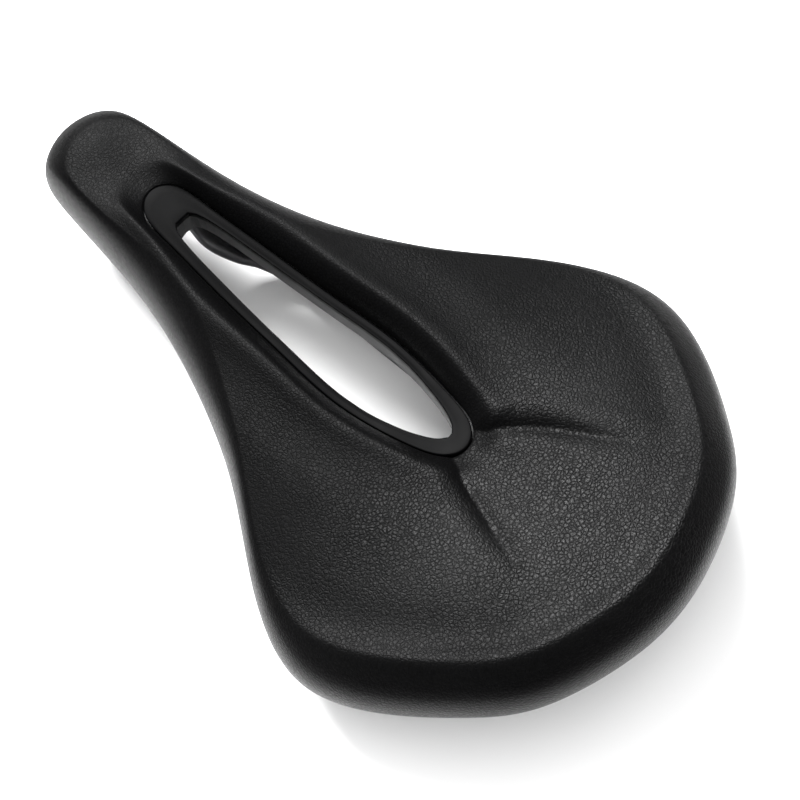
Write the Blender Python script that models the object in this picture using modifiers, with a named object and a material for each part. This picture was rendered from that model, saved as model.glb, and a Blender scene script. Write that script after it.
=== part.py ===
"""Short-nose bicycle saddle with a long relief opening, modelled as its separate pieces.

Frame: the nose points to -Y, the tail to +Y, the rider's left is +X, up is +Z.  The saddle stands on the
undersides of its two rails at Z = 0, and the origin is under the middle of its length and width.
Dimensions below are in millimetres and are scaled to metres where a mesh or a curve is made.
"""

import math

import bmesh
import bpy
import numpy as np
from mathutils import Matrix

MM = 0.001

# ---------------------------------------------------------------- driving dimensions (mm)
LENGTH = 240.0            # nose tip to tail
STATIONS = 25             # sections on one half, nose to tail
GAP = 0.3                 # bond line, and clearance between pieces that touch
SKIN = 1.2                # microfibre cover
SHELL = 2.4               # nylon shell wall
TRIM = 2.0                # plastic ring round the opening
FLANGE_DROP = 6.6         # depth of the shell's wall round the opening
FLANGE_WALL = 1.8

# Half widths of the padded outline at LENGTH/2 * (1 - cos a), a in equal steps from 0 to 180 degrees
HALF_WIDTH = [0, 12.5, 16.9, 18.8, 20.7, 25.2, 34.2, 48.0, 65.0, 74.0, 68.3, 55.3, 40.5, 19.5, 0]
# Outer edge of the plastic ring: from RING_Y0 to RING_Y1 behind the nose tip, same spacing
RING_Y0, RING_Y1 = 40.0, 167.0
RING_HALF = [0, 6.6, 8.4, 10.0, 11.4, 12.6, 10.2, 6.6, 0]
# Relief opening: (distance behind the nose tip, half width)
OPENING = [(53.5, 2.6), (56.0, 4.0), (62.0, 5.2), (80.0, 6.9), (104.0, 8.6), (126.0, 9.8), (134.0, 9.4),
           (148.0, 6.9), (156.0, 4.3), (159.0, 2.7), (160.7, 0.9)]

# Heights above the rail undersides, at distances behind the nose tip
CROWN_Z = [(0, 47.5), (20, 50), (60, 50.5), (110, 50), (150, 51.5), (190, 55), (225, 58.2), (240, 59)]
CROWN_BEND = [(0, .012), (20, .011), (60, .008), (110, .0036), (150, .0022), (190, .0017), (240, .0015)]
PAD_DEPTH = [(0, 6.5), (33, 6.6), (60, 8.6), (100, 10.6), (140, 10.5), (166, 8.4), (200, 11.5), (225, 11.0), (240, 9.5)]
SHOULDER_IN = [(0, 13), (30, 12), (100, 11), (190, 14), (225, 14), (240, 14)]
SHOULDER_DROP = [(0, 14), (30, 15), (100, 16), (190, 14), (225, 14), (240, 14)]
FLANK_DROP = [(0, 10), (30, 11), (100, 11), (190, 9), (225, 10), (240, 11)]
FLANK_LEAN = [(0, 2.0), (60, 2.0), (110, 3.5), (240, 3.5)]

# Rails
ROD = 7.0                 # round rail, diameter
RAIL_HALF_SPACING = 22.0  # 44 mm between the rails where a seatpost clamps them
CLAMP_Y0, CLAMP_Y1 = -32.0, 41.0
SOCKET_X, SOCKET_Z = 32.0, 29.0
SOCKET_Y0, SOCKET_Y1 = 66.0, 84.0
HOOP_R, HOOP_Y, HOOP_Z = 8.0, -87.0, 30.0
# Front run of each rail: (distance ahead of the middle, half spacing) and (distance ahead, height of its centre)
RAIL_FRONT_X = [(32, 22.0), (42, 21.8), (57, 16.8), (63, 12.2), (71, 8.05), (76.5, 8.0), (80, 8.0), (87, 8.0)]
RAIL_FRONT_Z = [(32, 3.5), (42, 3.7), (57, 8.2), (63, 11.8), (72, 21.6), (76.5, 27.4), (80, 29.6), (82.5, 30.0), (87, 30.0)]

# Fasteners
SCREW_R, HEAD_R, HEAD_H = 1.5, 2.9, 2.0
INSERT_R, INSERT_BORE = 2.4, 1.85


# ---------------------------------------------------------------- curves through a table
def through(table, at):
    """Smooth monotone curve through (position, value) pairs."""
    xs = np.array([p[0] for p in table], float)
    ys = np.array([p[1] for p in table], float)
    h = np.diff(xs)
    d = np.diff(ys) / h
    m = np.zeros(len(xs))
    for i in range(1, len(xs) - 1):
        if d[i - 1] * d[i] > 0:
            w1, w2 = 2 * h[i] + h[i - 1], h[i] + 2 * h[i - 1]
            m[i] = (w1 + w2) / (w1 / d[i - 1] + w2 / d[i])
    m[0], m[-1] = d[0], d[-1]
    at = np.clip(np.asarray(at, float), xs[0], xs[-1])
    k = np.clip(np.searchsorted(xs, at, side="right") - 1, 0, len(h) - 1)
    t = (at - xs[k]) / h[k]
    return ((1 + 2 * t) * (1 - t) ** 2 * ys[k] + t * (1 - t) ** 2 * h[k] * m[k]
            + t * t * (3 - 2 * t) * ys[k + 1] + t * t * (t - 1) * h[k] * m[k + 1])


def loop_spline(values, at):
    """Cubic spline through half widths given at equal angles from 0 to pi, odd about both ends."""
    v = np.array(values, float)
    n = len(v) - 1
    full = np.r_[v, -v[-2:0:-1]]
    step = math.pi / n
    size = len(full)
    a = np.zeros((size, size))
    for i in range(size):
        a[i, i] = 4
        a[i, (i + 1) % size] = a[i, (i - 1) % size] = 1
    second = np.linalg.solve(a, 6 * (np.roll(full, -1) - 2 * full + np.roll(full, 1)) / step ** 2)
    at = np.asarray(at, float)
    k = np.minimum((at / step).astype(int), n - 1)
    t = at / step - k
    a0, a1, m0, m1 = full[k], full[(k + 1) % size], second[k], second[(k + 1) % size]
    return (a0 * (1 - t) + a1 * t
            + step ** 2 / 6 * (((1 - t) ** 3 - (1 - t)) * m0 + (t ** 3 - t) * m1))


def least(a, b):
    """Smooth minimum of two lengths."""
    return (a ** -5.0 + b ** -5.0) ** (-1 / 5.0)


def smooth(t):
    t = np.clip(t, 0, 1)
    return t * t * (3 - 2 * t)


# ---------------------------------------------------------------- plan curves on the rider's left half
PHI = np.linspace(0, math.pi, STATIONS)


def outline(phi):
    return np.stack([loop_spline(HALF_WIDTH, phi), LENGTH / 2 * (1 - np.cos(phi))], -1)


def ring_edge(phi):
    y = RING_Y0 + (RING_Y1 - RING_Y0) / 2 * (1 - np.cos(phi))
    return np.stack([loop_spline(RING_HALF, phi), y], -1)


def opening_edge(phi):
    y0, y1 = OPENING[0][0], OPENING[-1][0] + 0.15
    y = y0 + (y1 - y0) / 2 * (1 - np.cos(phi))
    x = through(OPENING, y)
    x = np.where((phi < 1e-9) | (phi > math.pi - 1e-9), 0, x)
    return np.stack([x, y], -1)


def plan_normals(edge):
    d = np.gradient(edge, axis=0)
    n = np.stack([d[:, 1], -d[:, 0]], -1)
    n /= np.linalg.norm(n, axis=1)[:, None]
    n[0], n[-1] = (0, -1), (0, 1)
    return n


# ---------------------------------------------------------------- heights
def crown(x, y):
    """The padding's crown, without the recess round the opening."""
    return through(CROWN_Z, y) - through(CROWN_BEND, y) * x * x


def shell_top(x, y):
    return crown(x, y) - through(PAD_DEPTH, y)


def shell_under(x, y):
    return shell_top(x, y) - SHELL


def trim_top(x, y):
    return shell_top(x, y) + GAP + TRIM


# Profile across the padding: q 0..1 ring edge to shoulder, 1..2 shoulder to the widest point, 2..3 down the flank
Q = np.array([0, .12, .28, .5, .75, 1, 1.25, 1.5, 1.72, 1.88, 2, 2.5, 3])


def padding(recessed):
    """Outer surface of the padding as an array (station, q, xyz); recessed adds the hollow round the opening."""
    ring = ring_edge(PHI)
    ring = ring + plan_normals(ring) * 0.4
    edge = outline(PHI)
    normal = plan_normals(edge)
    run = edge - ring
    length = np.linalg.norm(run, axis=1)
    unit = run / length[:, None]
    y_edge = edge[:, 1]
    inset = least(through(SHOULDER_IN, y_edge), 0.74 * length)
    drop, flank = through(SHOULDER_DROP, y_edge), through(FLANK_DROP, y_edge)
    surface = np.zeros((len(PHI), len(Q), 3))
    hollow = crown(ring[:, 0], ring[:, 1]) - trim_top(ring[:, 0], ring[:, 1]) + 0.6
    reach = least(11.0 + 0 * length, length - 0.4 * inset)
    # the padding stays lower in front of and behind the opening, between the two ridges
    valley = 0.75 * np.abs(np.cos(PHI)) ** 9
    for j, q in enumerate(Q):
        if q <= 1:
            r = (length - inset) * q
            fall = 0 * r
        else:
            u = min(q - 1, 1.0)
            r = length - inset + inset * u
            fall = drop * (1 - (1 - u ** 1.8) ** (1 / 1.8))
        p = ring + unit * r[:, None]
        z = crown(p[:, 0], p[:, 1]) - fall
        if recessed:
            near = smooth(r / reach)
            far = smooth(r / (length * 0.9))
            z = z - hollow * ((1 - valley) * (1 - near) + valley * (1 - far) ** 1.4)
        if q > 2:
            v = q - 2
            p = p - normal * (through(FLANK_LEAN, y_edge) * v * v)[:, None]
            z = z - flank * v
        surface[:, j, :2] = p
        surface[:, j, 2] = z
    surface[0, :, 0] = surface[-1, :, 0] = 0
    return surface


def surface_normals(s):
    mirrored = s * [-1, 1, 1]
    ext = np.concatenate([mirrored[1:2], s, mirrored[-2:-1]], axis=0)
    ds = (ext[2:] - ext[:-2])
    dq = np.gradient(s, axis=1)
    n = np.cross(dq, ds)
    n /= np.linalg.norm(n, axis=2)[:, :, None]
    flip = np.sign((n[:, 3:6, 2]).mean())
    n *= flip
    n[0, :, 0] = n[-1, :, 0] = 0
    return n / np.linalg.norm(n, axis=2)[:, :, None]


OUTER = padding(True)
OUTER_N = surface_normals(OUTER)
BASE = padding(False)


FLANK_SKIN, EDGE_SKIN = 3.6, 2.5     # shell's depth behind the padded flank, at its widest and at its lower edge


def layer(extra):
    """Surface that lies extra mm below the shell's outer face: arched under the padding, then down the flank."""
    ring = ring_edge(PHI)
    ring = ring + plan_normals(ring) * 0.4
    edge = outline(PHI)
    normal = plan_normals(edge)
    run = edge - ring
    length = np.linalg.norm(run, axis=1)
    unit = run / length[:, None]
    slant = np.clip((unit * normal).sum(axis=1), 0.5, 1)
    y_edge = edge[:, 1]
    inset = least(through(SHOULDER_IN, y_edge), 0.74 * length)
    widest = BASE[:, list(Q).index(2), 2]
    side = (FLANK_SKIN + extra) / slant
    end = edge - unit * side[:, None]
    knee = np.maximum(crown(end[:, 0], end[:, 1]) - through(PAD_DEPTH, end[:, 1]) - extra - widest + 0.6 * extra, 0.2)
    surface = np.zeros_like(BASE)
    for j, q in enumerate(Q):
        u = np.clip(q - 1, 0, 1)
        r = (length - inset) * min(q, 1) + (inset - side) * u
        p = ring + unit * r[:, None]
        z = crown(p[:, 0], p[:, 1]) - through(PAD_DEPTH, p[:, 1]) - extra - knee * (1 - (1 - u ** 1.8) ** (1 / 1.8))
        if q > 2:
            v = q - 2
            inward = FLANK_SKIN + (EDGE_SKIN - FLANK_SKIN) * min(v / 0.8, 1) + extra
            p = edge - normal * (through(FLANK_LEAN, y_edge) * v * v + inward)[:, None]
            z = widest - through(FLANK_DROP, y_edge) * v
        surface[:, j, :2] = p
        surface[:, j, 2] = z
    surface[0, :, 0] = surface[-1, :, 0] = 0
    return surface


def to_world(points):
    p = np.array(points, float)
    p[..., 1] -= LENGTH / 2
    return p * MM


# ---------------------------------------------------------------- scene, collections, materials
for old in list(bpy.data.objects):
    bpy.data.objects.remove(old, do_unlink=True)

saddle = bpy.data.collections.new("bicycle_saddle")
cutters = bpy.data.collections.new("cutters")
bpy.context.scene.collection.children.link(saddle)
bpy.context.scene.collection.children.link(cutters)


def material(name, colour, roughness, metallic=0.0):
    m = bpy.data.materials.new(name)
    m.use_nodes = True
    shader = m.node_tree.nodes["Principled BSDF"]
    shader.inputs["Base Color"].default_value = (*colour, 1)
    shader.inputs["Roughness"].default_value = roughness
    shader.inputs["Metallic"].default_value = metallic
    return m


MICROFIBRE = material("black_microfibre", (0.014, 0.014, 0.015), 0.45)
FOAM = material("moulded_foam", (0.10, 0.10, 0.10), 0.95)
GEL = material("soft_pad", (0.16, 0.17, 0.19), 0.8)
NYLON = material("black_nylon", (0.018, 0.018, 0.019), 0.5)
TRIM_PLASTIC = material("charcoal_plastic", (0.028, 0.029, 0.030), 0.55)
STEEL = material("black_oxide_steel", (0.05, 0.05, 0.052), 0.35, 1.0)
RUBBER = material("black_rubber", (0.015, 0.015, 0.015), 0.8)
SCREW_STEEL = material("zinc_steel", (0.45, 0.45, 0.46), 0.3, 1.0)
BRASS = material("brass", (0.60, 0.42, 0.16), 0.35, 1.0)


def keep(name, mesh, mat, smooth_angle=40):
    obj = bpy.data.objects.new(name, mesh)
    saddle.objects.link(obj)
    mesh.materials.clear()
    mesh.materials.append(mat)
    mesh.shade_smooth()
    mesh.set_sharp_from_angle(angle=math.radians(smooth_angle))
    return obj


def loft(name, sections, closed_section):
    """Mesh of quads through the sections; an open section gives a sheet, a closed one a tube open at both ends."""
    bm = bmesh.new()
    rows = [[bm.verts.new(p) for p in to_world(s)] for s in sections]
    count = len(rows[0])
    last = count if closed_section else count - 1
    for a, b in zip(rows, rows[1:]):
        for j in range(last):
            k = (j + 1) % count
            bm.faces.new((a[j], a[k], b[k], b[j]))
    mesh = bpy.data.meshes.new(name)
    bm.to_mesh(mesh)
    bm.free()
    return mesh


def mirror(obj):
    m = obj.modifiers.new("Mirror", "MIRROR")
    m.use_axis = (True, False, False)
    m.use_mirror_merge = True
    m.merge_threshold = 0.00002
    return m


def helper(obj):
    for c in list(obj.users_collection):
        c.objects.unlink(obj)
    cutters.objects.link(obj)
    obj.hide_render = True
    obj.display_type = "WIRE"
    return obj


def boolean(obj, other, operation):
    m = obj.modifiers.new(operation.title(), "BOOLEAN")
    m.operation = operation
    m.object = other
    m.solver = "EXACT"
    return m


def box(name, low, high):
    bm = bmesh.new()
    bmesh.ops.create_cube(bm, size=MM)
    size = [b - a for a, b in zip(low, high)]
    bmesh.ops.scale(bm, verts=bm.verts, vec=size)
    bmesh.ops.translate(bm, verts=bm.verts, vec=[(a + b) / 2 * MM for a, b in zip(low, high)])
    mesh = bpy.data.meshes.new(name)
    bm.to_mesh(mesh)
    bm.free()
    obj = bpy.data.objects.new(name, mesh)
    saddle.objects.link(obj)
    return obj


def rod(name, radius, start, end, sides=16):
    """Cylinder from start to end along one axis."""
    bm = bmesh.new()
    length = max(abs(b - a) for a, b in zip(start, end))
    bmesh.ops.create_cone(bm, cap_ends=True, segments=sides, radius1=radius * MM, radius2=radius * MM,
                          depth=length * MM)
    bmesh.ops.rotate(bm, verts=bm.verts, cent=(0, 0, 0), matrix=Matrix.Rotation(math.pi / sides, 3, "Z"))
    if start[1] != end[1]:
        bmesh.ops.rotate(bm, verts=bm.verts, cent=(0, 0, 0), matrix=Matrix.Rotation(math.pi / 2, 3, "X"))
    bmesh.ops.translate(bm, verts=bm.verts, vec=[(a + b) / 2 * MM for a, b in zip(start, end)])
    mesh = bpy.data.meshes.new(name)
    bm.to_mesh(mesh)
    bm.free()
    obj = bpy.data.objects.new(name, mesh)
    saddle.objects.link(obj)
    return obj


def turned(name, profile, closed_profile, place, axis, mat, sides=16):
    """Profile of (radius, height) turned about its axis; the outer side runs from top to bottom."""
    mesh = bpy.data.meshes.new(name)
    count = len(profile)
    edges = [(i, i + 1) for i in range(count - 1)]
    if closed_profile:
        edges.append((count - 1, 0))
    mesh.from_pydata([(r * MM, 0, z * MM) for r, z in profile], edges, [])
    obj = bpy.data.objects.new(name, mesh)
    saddle.objects.link(obj)
    mesh.materials.append(mat)
    m = obj.modifiers.new("Screw", "SCREW")
    m.angle = 2 * math.pi
    m.steps = m.render_steps = sides
    m.use_merge_vertices = True
    m.merge_threshold = 0.00001
    obj.location = [c * MM for c in place]
    if axis == "Y":
        obj.rotation_euler = (-math.pi / 2, 0, 0)
    return obj


def under_shell(name, x0, x1, y0, y1, bottom, nx, ny):
    """Block hanging from the shell: its top follows the shell's underside and is sunk 1.1 mm into the wall."""
    xs, ys = np.linspace(x0, x1, nx + 1), np.linspace(y0, y1, ny + 1)
    bm = bmesh.new()
    bmesh.ops.create_grid(bm, x_segments=nx, y_segments=ny, size=0.5)
    for v in bm.verts:
        v.co.x, v.co.y = x0 + (v.co.x + 0.5) * (x1 - x0), y0 + (v.co.y + 0.5) * (y1 - y0)
        v.co.z = bottom
    low = list(bm.faces)
    grown = bmesh.ops.extrude_face_region(bm, geom=low)
    for v in [g for g in grown["geom"] if isinstance(g, bmesh.types.BMVert)]:
        v.co.z = float(shell_under(v.co.x, v.co.y + LENGTH / 2)) + 1.1
    bmesh.ops.recalc_face_normals(bm, faces=bm.faces)
    bmesh.ops.scale(bm, verts=bm.verts, vec=(MM, MM, MM))
    mesh = bpy.data.meshes.new(name)
    bm.to_mesh(mesh)
    bm.free()
    obj = bpy.data.objects.new(name, mesh)
    saddle.objects.link(obj)
    return helper(obj)


def rib(name, path, width, depth, sunk):
    """Stiffening rib along a path under the shell, sunk a little way into the wall."""
    path = np.array(path, float)
    d = np.gradient(path, axis=0)
    side = np.stack([d[:, 1], -d[:, 0]], -1)
    side /= np.linalg.norm(side, axis=1)[:, None]
    bm = bmesh.new()
    rows = []
    for p, n in zip(path, side):
        z = float(shell_under(p[0], p[1] + LENGTH / 2))
        a, b = p - n * width / 2, p + n * width / 2
        rows.append([bm.verts.new(c) for c in
                     ((a[0], a[1], z + sunk), (b[0], b[1], z + sunk), (b[0], b[1], z - depth), (a[0], a[1], z - depth))])
    for r0, r1 in zip(rows, rows[1:]):
        for j in range(4):
            k = (j + 1) % 4
            bm.faces.new((r0[j], r0[k], r1[k], r1[j]))
    bm.faces.new(rows[0])
    bm.faces.new(rows[-1])
    bmesh.ops.recalc_face_normals(bm, faces=bm.faces)
    bmesh.ops.scale(bm, verts=bm.verts, vec=(MM, MM, MM))
    mesh = bpy.data.meshes.new(name)
    bm.to_mesh(mesh)
    bm.free()
    obj = bpy.data.objects.new(name, mesh)
    saddle.objects.link(obj)
    return helper(obj)


# ---------------------------------------------------------------- cover: one sheet, wrapped under the shell's edge
def wrapped_skin():
    edge = OUTER[:, -1]
    out = OUTER_N[:, -1].copy()
    down = OUTER[:, -1] - OUTER[:, -2]
    down /= np.linalg.norm(down, axis=1)[:, None]
    rows = [OUTER[:, j] for j in range(len(Q))]
    for t, n in ((1.3, 0.8), (1.9, 3.5), (1.3, 6.4), (0.0, 7.4), (-4.2, 7.4)):
        rows.append(edge + down * t - out * n)
    sheet = np.stack(rows, axis=1)
    sheet[0, :, 0] = sheet[-1, :, 0] = 0
    return sheet


cover = keep("cover", loft("cover", wrapped_skin(), False), MICROFIBRE, 60)
mirror(cover)
skin = cover.modifiers.new("Thickness", "SOLIDIFY")
skin.thickness = SKIN * MM
skin.offset = -1
skin.use_even_offset = True


# ---------------------------------------------------------------- foam
def at_q(grid, station, q):
    return np.stack([np.interp(q, Q, grid[station, :, k]) for k in range(3)], -1)


PAD_X, PAD_Y, PAD_RX, PAD_RY, PAD_T = 41.0, 187.0, 18.0, 25.0, 4.2


def pocket(x, y):
    """Height that the foam's underside is raised over a sit pad."""
    rho = np.hypot((np.abs(x) - PAD_X) / PAD_RX, (y - PAD_Y) / PAD_RY)
    return (PAD_T + 0.9) * (1 - smooth((rho - 1.15) / 0.55))


def foam_sections():
    sections = []
    under = layer(-GAP - 0.1)
    upper = OUTER - OUTER_N * (SKIN + 0.45)
    under[:, :, 2] += pocket(under[:, :, 0], under[:, :, 1])
    for i in range(len(PHI)):
        fine = np.linspace(0, 2, 401)
        thick = at_q(upper, i, fine)[:, 2] - at_q(under, i, fine)[:, 2]
        start = fine[np.argmax(thick > 1.0)]
        columns = np.r_[Q[Q <= 2], 2.2]
        q = np.maximum(columns, start + 0.012 * np.arange(len(columns)))
        section = np.concatenate([at_q(upper, i, q), at_q(under, i, q)[::-1]])
        sections.append(section)
    sections = np.array(sections)
    sections[0, :, 0] = sections[-1, :, 0] = 0
    return sections


foam = keep("foam_pad", loft("foam_pad", foam_sections(), True), FOAM)
mirror(foam)

for side, sign in (("left", 1), ("right", -1)):
    bm = bmesh.new()
    bmesh.ops.create_uvsphere(bm, u_segments=16, v_segments=8, radius=1)
    for v in bm.verts:
        a, b, c = v.co
        x, y = sign * PAD_X + PAD_RX * a, PAD_Y + PAD_RY * b
        rise = 0.8 + (PAD_T - 0.8) * c if c > 0 else 0.8 * (1 + c)
        v.co = (x * MM, (y - LENGTH / 2) * MM, (float(shell_top(x, y)) + GAP + 0.2 + rise) * MM)
    bmesh.ops.recalc_face_normals(bm, faces=bm.faces)
    mesh = bpy.data.meshes.new("sit_pad_" + side)
    bm.to_mesh(mesh)
    bm.free()
    keep("sit_pad_" + side, mesh, GEL, 60)


# ---------------------------------------------------------------- nylon shell with the wall round the opening
def shell_sections():
    opening = opening_edge(PHI)
    n = plan_normals(opening)
    inner, outer = opening + n * 0.4, opening + n * (0.4 + FLANGE_WALL)
    last = 2.76
    q = np.r_[Q[Q < last], last]
    top, low = layer(0), layer(SHELL)
    sections = []
    for i in range(len(PHI)):
        zi = shell_top(*inner[i])
        zo = shell_top(*outer[i])
        section = [(*inner[i], zi - FLANGE_DROP), (*inner[i], zi)]
        section += [tuple(p) for p in at_q(top, i, q)]
        section += [tuple(p) for p in at_q(low, i, q)[::-1]]
        section += [(*outer[i], zo - SHELL), (*outer[i], zi - FLANGE_DROP)]
        sections.append(section)
    sections = np.array(sections)
    sections[0, :, 0] = sections[-1, :, 0] = 0
    return sections


shell = keep("base_shell", loft("base_shell", shell_sections(), True), NYLON)
mirror(shell)

# rail sockets and nose seat, joined to the shell
BOSS_X0, BOSS_X1 = SOCKET_X - 13.2, SOCKET_X + 13.2
SCREW_DX = 9.9
SCREW_Y = (SOCKET_Y0 + SOCKET_Y1) / 2 + 0.5
added = []
for side, sign in (("left", 1), ("right", -1)):
    x0, x1 = sorted((sign * BOSS_X0, sign * BOSS_X1))
    added.append(under_shell("socket_block_" + side, x0, x1, SOCKET_Y0 + 0.5, SOCKET_Y1 + 2.2, SOCKET_Z + 0.25, 4, 2))
    added.append(rib("rib_long_" + side,
                     [(sign * (19 + 4.5 * t), -28 + 92 * t) for t in np.linspace(0, 1, 9)], 2.0, 5.0, 0.9))
    added.append(rib("rib_tail_" + side,
                     [(sign * (24 - 7 * t), 88.6 + 14 * t) for t in np.linspace(0, 1, 4)], 2.0, 4.5, 0.75))
    added.append(rib("rib_cross_" + side,
                     [(sign * (27.5 + 18 * t), 58.4) for t in np.linspace(0, 1, 4)], 2.1, 5.3, 0.65))
added.append(rib("rib_cross_middle", [(x, 58.4) for x in np.linspace(-19.6, 19.6, 6)], 2.1, 5.3, 0.6))
added.append(under_shell("nose_seat", -9.5, 9.5, -96.0, -74.5, 35.9, 2, 2))
added.append(under_shell("nose_post", -3.9, 3.9, -88.5, -75.5, 26.5, 1, 2))
for piece in added:
    boolean(shell, piece, "UNION")


def bored(obj, name, radius, start, end, sides=16):
    boolean(obj, helper(rod(name, radius, start, end, sides)), "DIFFERENCE")


NOSE_SCREW_Y = (-84.9, -78.6)
for side, sign in (("left", 1), ("right", -1)):
    bored(shell, "socket_groove_" + side, 5.9, (sign * SOCKET_X, SOCKET_Y0 - 4, SOCKET_Z),
          (sign * SOCKET_X, SOCKET_Y1 + 0.8, SOCKET_Z))
    for place, dx in (("inner", -SCREW_DX), ("outer", SCREW_DX)):
        x = sign * (SOCKET_X + dx)
        bored(shell, f"insert_hole_{side}_{place}", INSERT_R + 0.35, (x, SCREW_Y, SOCKET_Z - 2), (x, SCREW_Y, 35.4), 12)
for k, y in enumerate(NOSE_SCREW_Y):
    bored(shell, f"insert_hole_nose_{k}", INSERT_R + 0.35, (0, y, 24), (0, y, 32.4), 12)


# ---------------------------------------------------------------- plastic ring round the opening
def trim_sections():
    opening, ring = opening_edge(PHI), ring_edge(PHI)
    sections = []
    for a, b in zip(opening, ring):
        m = a + (b - a) * 0.25
        za, zm, zb = (float(trim_top(*c)) for c in (a, m, b))
        sections.append([(*a, za - TRIM), (*a, za - 0.45), (*m, zm), (*b, zb), (*b, zb - TRIM)])
    sections = np.array(sections)
    sections[0, :, 0] = sections[-1, :, 0] = 0
    return sections


trim = keep("cutout_trim", loft("cutout_trim", trim_sections(), True), TRIM_PLASTIC)
mirror(trim)


# ---------------------------------------------------------------- rail: one bent rod, with the hoop in the nose
def rail_path():
    side = [(SOCKET_X, SOCKET_Y1, SOCKET_Z), (SOCKET_X, SOCKET_Y0, SOCKET_Z)]
    for t in np.linspace(0, 1, 9)[1:-1]:
        s = smooth(t)
        side.append((SOCKET_X + (RAIL_HALF_SPACING - SOCKET_X) * s, SOCKET_Y0 + (CLAMP_Y1 - SOCKET_Y0) * t,
                     SOCKET_Z + (ROD / 2 - SOCKET_Z) * s))
    side += [(RAIL_HALF_SPACING, CLAMP_Y1, ROD / 2), (RAIL_HALF_SPACING, CLAMP_Y0, ROD / 2)]
    for ahead in np.linspace(-CLAMP_Y0, 84, 18)[1:]:
        side.append((float(through(RAIL_FRONT_X, ahead)), -float(ahead), float(through(RAIL_FRONT_Z, ahead))))
    for t in np.linspace(0, math.pi / 2, 5):
        side.append((HOOP_R * math.cos(t), HOOP_Y - HOOP_R * math.sin(t), HOOP_Z))
    other = [(-x, y, z) for x, y, z in side[-2::-1]]
    return side + other


points = rail_path()
rail_curve = bpy.data.curves.new("rail", "CURVE")
rail_curve.dimensions = "3D"
rail_curve.twist_mode = "Z_UP"
rail_curve.bevel_depth = ROD / 2 / math.cos(math.pi / 12) * MM
rail_curve.bevel_resolution = 4
rail_curve.use_fill_caps = True
spline = rail_curve.splines.new("POLY")
spline.points.add(len(points) - 1)
for point, (x, y, z) in zip(spline.points, points):
    point.co = (x * MM, y * MM, z * MM, 1)
    point.tilt = math.pi / 12
rail_curve.materials.append(STEEL)
rail = bpy.data.objects.new("rail", rail_curve)
saddle.objects.link(rail)


# ---------------------------------------------------------------- rear sockets: sleeve, cap, screws, inserts
def screw(name, x, y, head_bottom, tip):
    profile = [(0, tip), (SCREW_R, tip), (SCREW_R, head_bottom + HEAD_H), (HEAD_R, head_bottom + HEAD_H),
               (HEAD_R, head_bottom + 0.4), (HEAD_R - 0.5, head_bottom), (1.25, head_bottom),
               (1.25, head_bottom + 1.2), (0, head_bottom + 1.2)]
    return turned(name, profile, False, (x, y, 0), "Z", SCREW_STEEL, 12)


def insert(name, x, y, z0, z1):
    profile = [(INSERT_R, z1), (INSERT_R, z0), (INSERT_BORE, z0), (INSERT_BORE, z1)]
    return turned(name, profile, True, (x, y, 0), "Z", BRASS, 12)


EAR_TOP, EAR_BOTTOM = SOCKET_Z - 0.25, SOCKET_Z - 3.3
for side, sign in (("left", 1), ("right", -1)):
    x = sign * SOCKET_X
    turned("rear_bushing_" + side, [(5.35, 8.6), (5.35, -8.6), (4.12, -8.6), (4.12, 8.6)], True,
           (x, (SOCKET_Y0 + SOCKET_Y1) / 2 + 0.2, SOCKET_Z), "Y", RUBBER, 16)
    x0, x1 = sorted((sign * BOSS_X0, sign * BOSS_X1))
    cap = box("rear_clamp_" + side, (x0 + 0.5, SOCKET_Y0 + 0.8, EAR_BOTTOM), (x1 - 0.5, SOCKET_Y1 + 1.9, EAR_TOP))
    cap.data.materials.append(NYLON)
    body = helper(rod("clamp_body_" + side, 7.4, (x, SOCKET_Y0 + 0.8, SOCKET_Z), (x, SOCKET_Y1 + 1.9, SOCKET_Z), 20))
    boolean(cap, body, "UNION")
    boolean(cap, helper(box("clamp_split_" + side, (x0 - 5, SOCKET_Y0 - 5, EAR_TOP), (x1 + 5, SOCKET_Y1 + 8, 45))), "DIFFERENCE")
    bored(cap, "clamp_groove_" + side, 5.9, (x, SOCKET_Y0 - 4, SOCKET_Z), (x, SOCKET_Y1 + 0.8, SOCKET_Z))
    for place, dx in (("inner", -SCREW_DX), ("outer", SCREW_DX)):
        sx = sign * (SOCKET_X + dx)
        bored(cap, f"clamp_hole_{side}_{place}", 1.95, (sx, SCREW_Y, 20), (sx, SCREW_Y, 32), 12)
        screw(f"rear_screw_{side}_{place}", sx, SCREW_Y, EAR_BOTTOM - GAP - HEAD_H, 34.3)
        insert(f"rear_insert_{side}_{place}", sx, SCREW_Y, SOCKET_Z + 0.4, 35.0)

# ---------------------------------------------------------------- nose seat: pad, cap, screws, inserts
pad = box("nose_pad", (-9.5, -96.0, 33.95), (9.5, -74.5, 35.6))
pad.data.materials.append(RUBBER)
boolean(pad, helper(box("nose_pad_slot", (-4.3, -89.0, 30), (4.3, -70.0, 40))), "DIFFERENCE")
cap = box("nose_clamp", (-9.2, -96.0, 22.7), (9.2, -76.3, 26.05))
cap.data.materials.append(NYLON)
for k, (x0, x1) in enumerate(((-12.0, -4.4), (4.4, 12.0))):
    boolean(cap, helper(box(f"nose_cap_notch_{k}", (x0, -82.2, 18), (x1, -74.0, 30))), "DIFFERENCE")
for k, y in enumerate(NOSE_SCREW_Y):
    bored(cap, f"nose_cap_hole_{k}", 1.95, (0, y, 18), (0, y, 30), 12)
    name = ("front", "rear")[k]
    screw("nose_screw_" + name, 0, y, 22.7 - GAP - HEAD_H, 31.4)
    insert("nose_insert_" + name, 0, y, 26.7, 32.0)
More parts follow.
